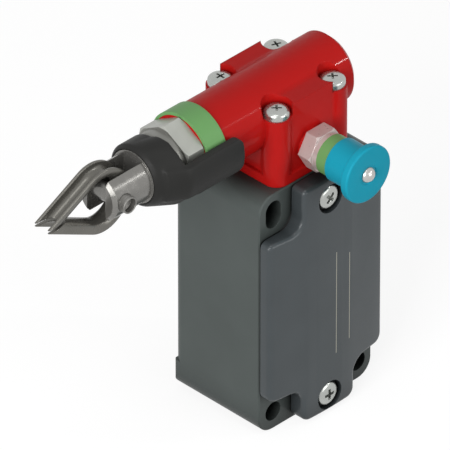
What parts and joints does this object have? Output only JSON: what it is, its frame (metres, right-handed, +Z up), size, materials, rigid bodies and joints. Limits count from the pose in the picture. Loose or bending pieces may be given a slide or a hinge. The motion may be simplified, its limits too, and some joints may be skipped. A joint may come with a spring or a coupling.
{
  "type": "rope pull switch",
  "caption": "Rope-operated safety switch with a die-cast case, red turret head, sprung pull shaft with fork and rope thimble, and a blue reset knob.",
  "frame": {"origin": "centre of the four fixing holes, on the back face of the case", "axes": "+Y out of the back into the wall, -Y out of the lid, -X along the rope, +Z up from the conduit entry to the head"},
  "size_m": [0.1013, 0.0496, 0.0975],
  "materials": {
    "case_paint": "satin, fine grain",
    "cover_paint": "satin, fine grain",
    "black_rubber": "matte",
    "zinc_screw": "zinc plated",
    "head_red": "gloss red paint",
    "band_green": "satin",
    "nut_alloy": "matte, machined",
    "nut_nickel": "nickel plated",
    "shaft_steel": "turned stainless",
    "thimble_steel": "pressed stainless",
    "cup_black": "moulded",
    "knob_blue": "moulded",
    "spring_steel": "drawn wire",
    "zinc_small": "zinc plated",
    "cam_steel": "hardened, ground",
    "brass": "turned",
    "block_plastic": "moulded",
    "carrier_plastic": "moulded"
  },
  "bodies": {
    "switch_body": {"case": "case_paint", "cover": "cover_paint", "cover_gasket": "black_rubber", "cover_screws": "zinc_screw", "head_body": "head_red", "head_seal": "black_rubber", "head_screws": "zinc_screw", "green_band": "band_green", "guide_nut": "nut_alloy", "shaft_seal": "black_rubber", "main_spring": "spring_steel", "plunger_bush": "brass", "reset_nut": "nut_nickel", "reset_seal": "black_rubber", "reset_band": "band_green", "reset_spring": "spring_steel", "contact_block": "block_plastic", "carrier_spring": "spring_steel", "fixed_contacts": "brass", "terminal_clamps": "zinc_small", "terminal_screws": "zinc_small", "block_screws": "zinc_small", "earth_screw": "brass", "earth_washer": "zinc_small"},
    "pull_rod": {"pull_shaft": "shaft_steel", "fork_pin": "shaft_steel", "indicator_cup": "cup_black", "spring_washer": "zinc_small", "cam_sleeve": "cam_steel", "keeper_ring": "spring_steel"},
    "thimble": {"rope_thimble": "thimble_steel"},
    "plunger_body": {"plunger": "shaft_steel", "contact_carrier": "carrier_plastic", "contact_bridges": "brass", "contact_springs": "spring_steel"},
    "reset_body": {"reset_knob": "knob_blue", "reset_shaft": "shaft_steel", "latch_yoke": "zinc_small"}
  },
  "joints": [
    {"name": "rope_pull", "type": "slide", "parent": "switch_body", "child": "pull_rod", "axis": [-1, 0, 0], "range_m": [0, 0.012], "stiffness_N_per_m": 3000, "springref_m": -0.005, "deforming": ["main_spring"]},
    {"name": "thimble_swing", "type": "hinge", "parent": "pull_rod", "child": "thimble", "pos_m": [-0.0591, -0.0161, 0.0519], "axis": [0, 1, 0], "range_deg": [-45, 45]},
    {"name": "plunger_drop", "type": "slide", "parent": "switch_body", "child": "plunger_body", "axis": [0, 0, -1], "range_m": [0, 0.0024], "stiffness_N_per_m": 600, "springref_m": -0.003, "deforming": ["carrier_spring"]},
    {"name": "reset_pull", "type": "slide", "parent": "switch_body", "child": "reset_body", "axis": [0, -1, 0], "range_m": [-0.0016, 0.003], "stiffness_N_per_m": 900, "deforming": ["reset_spring"]}
  ],
  "couplings": [
    {"joint": "plunger_drop", "follows": "rope_pull", "ratio": 0.2}
  ]
}
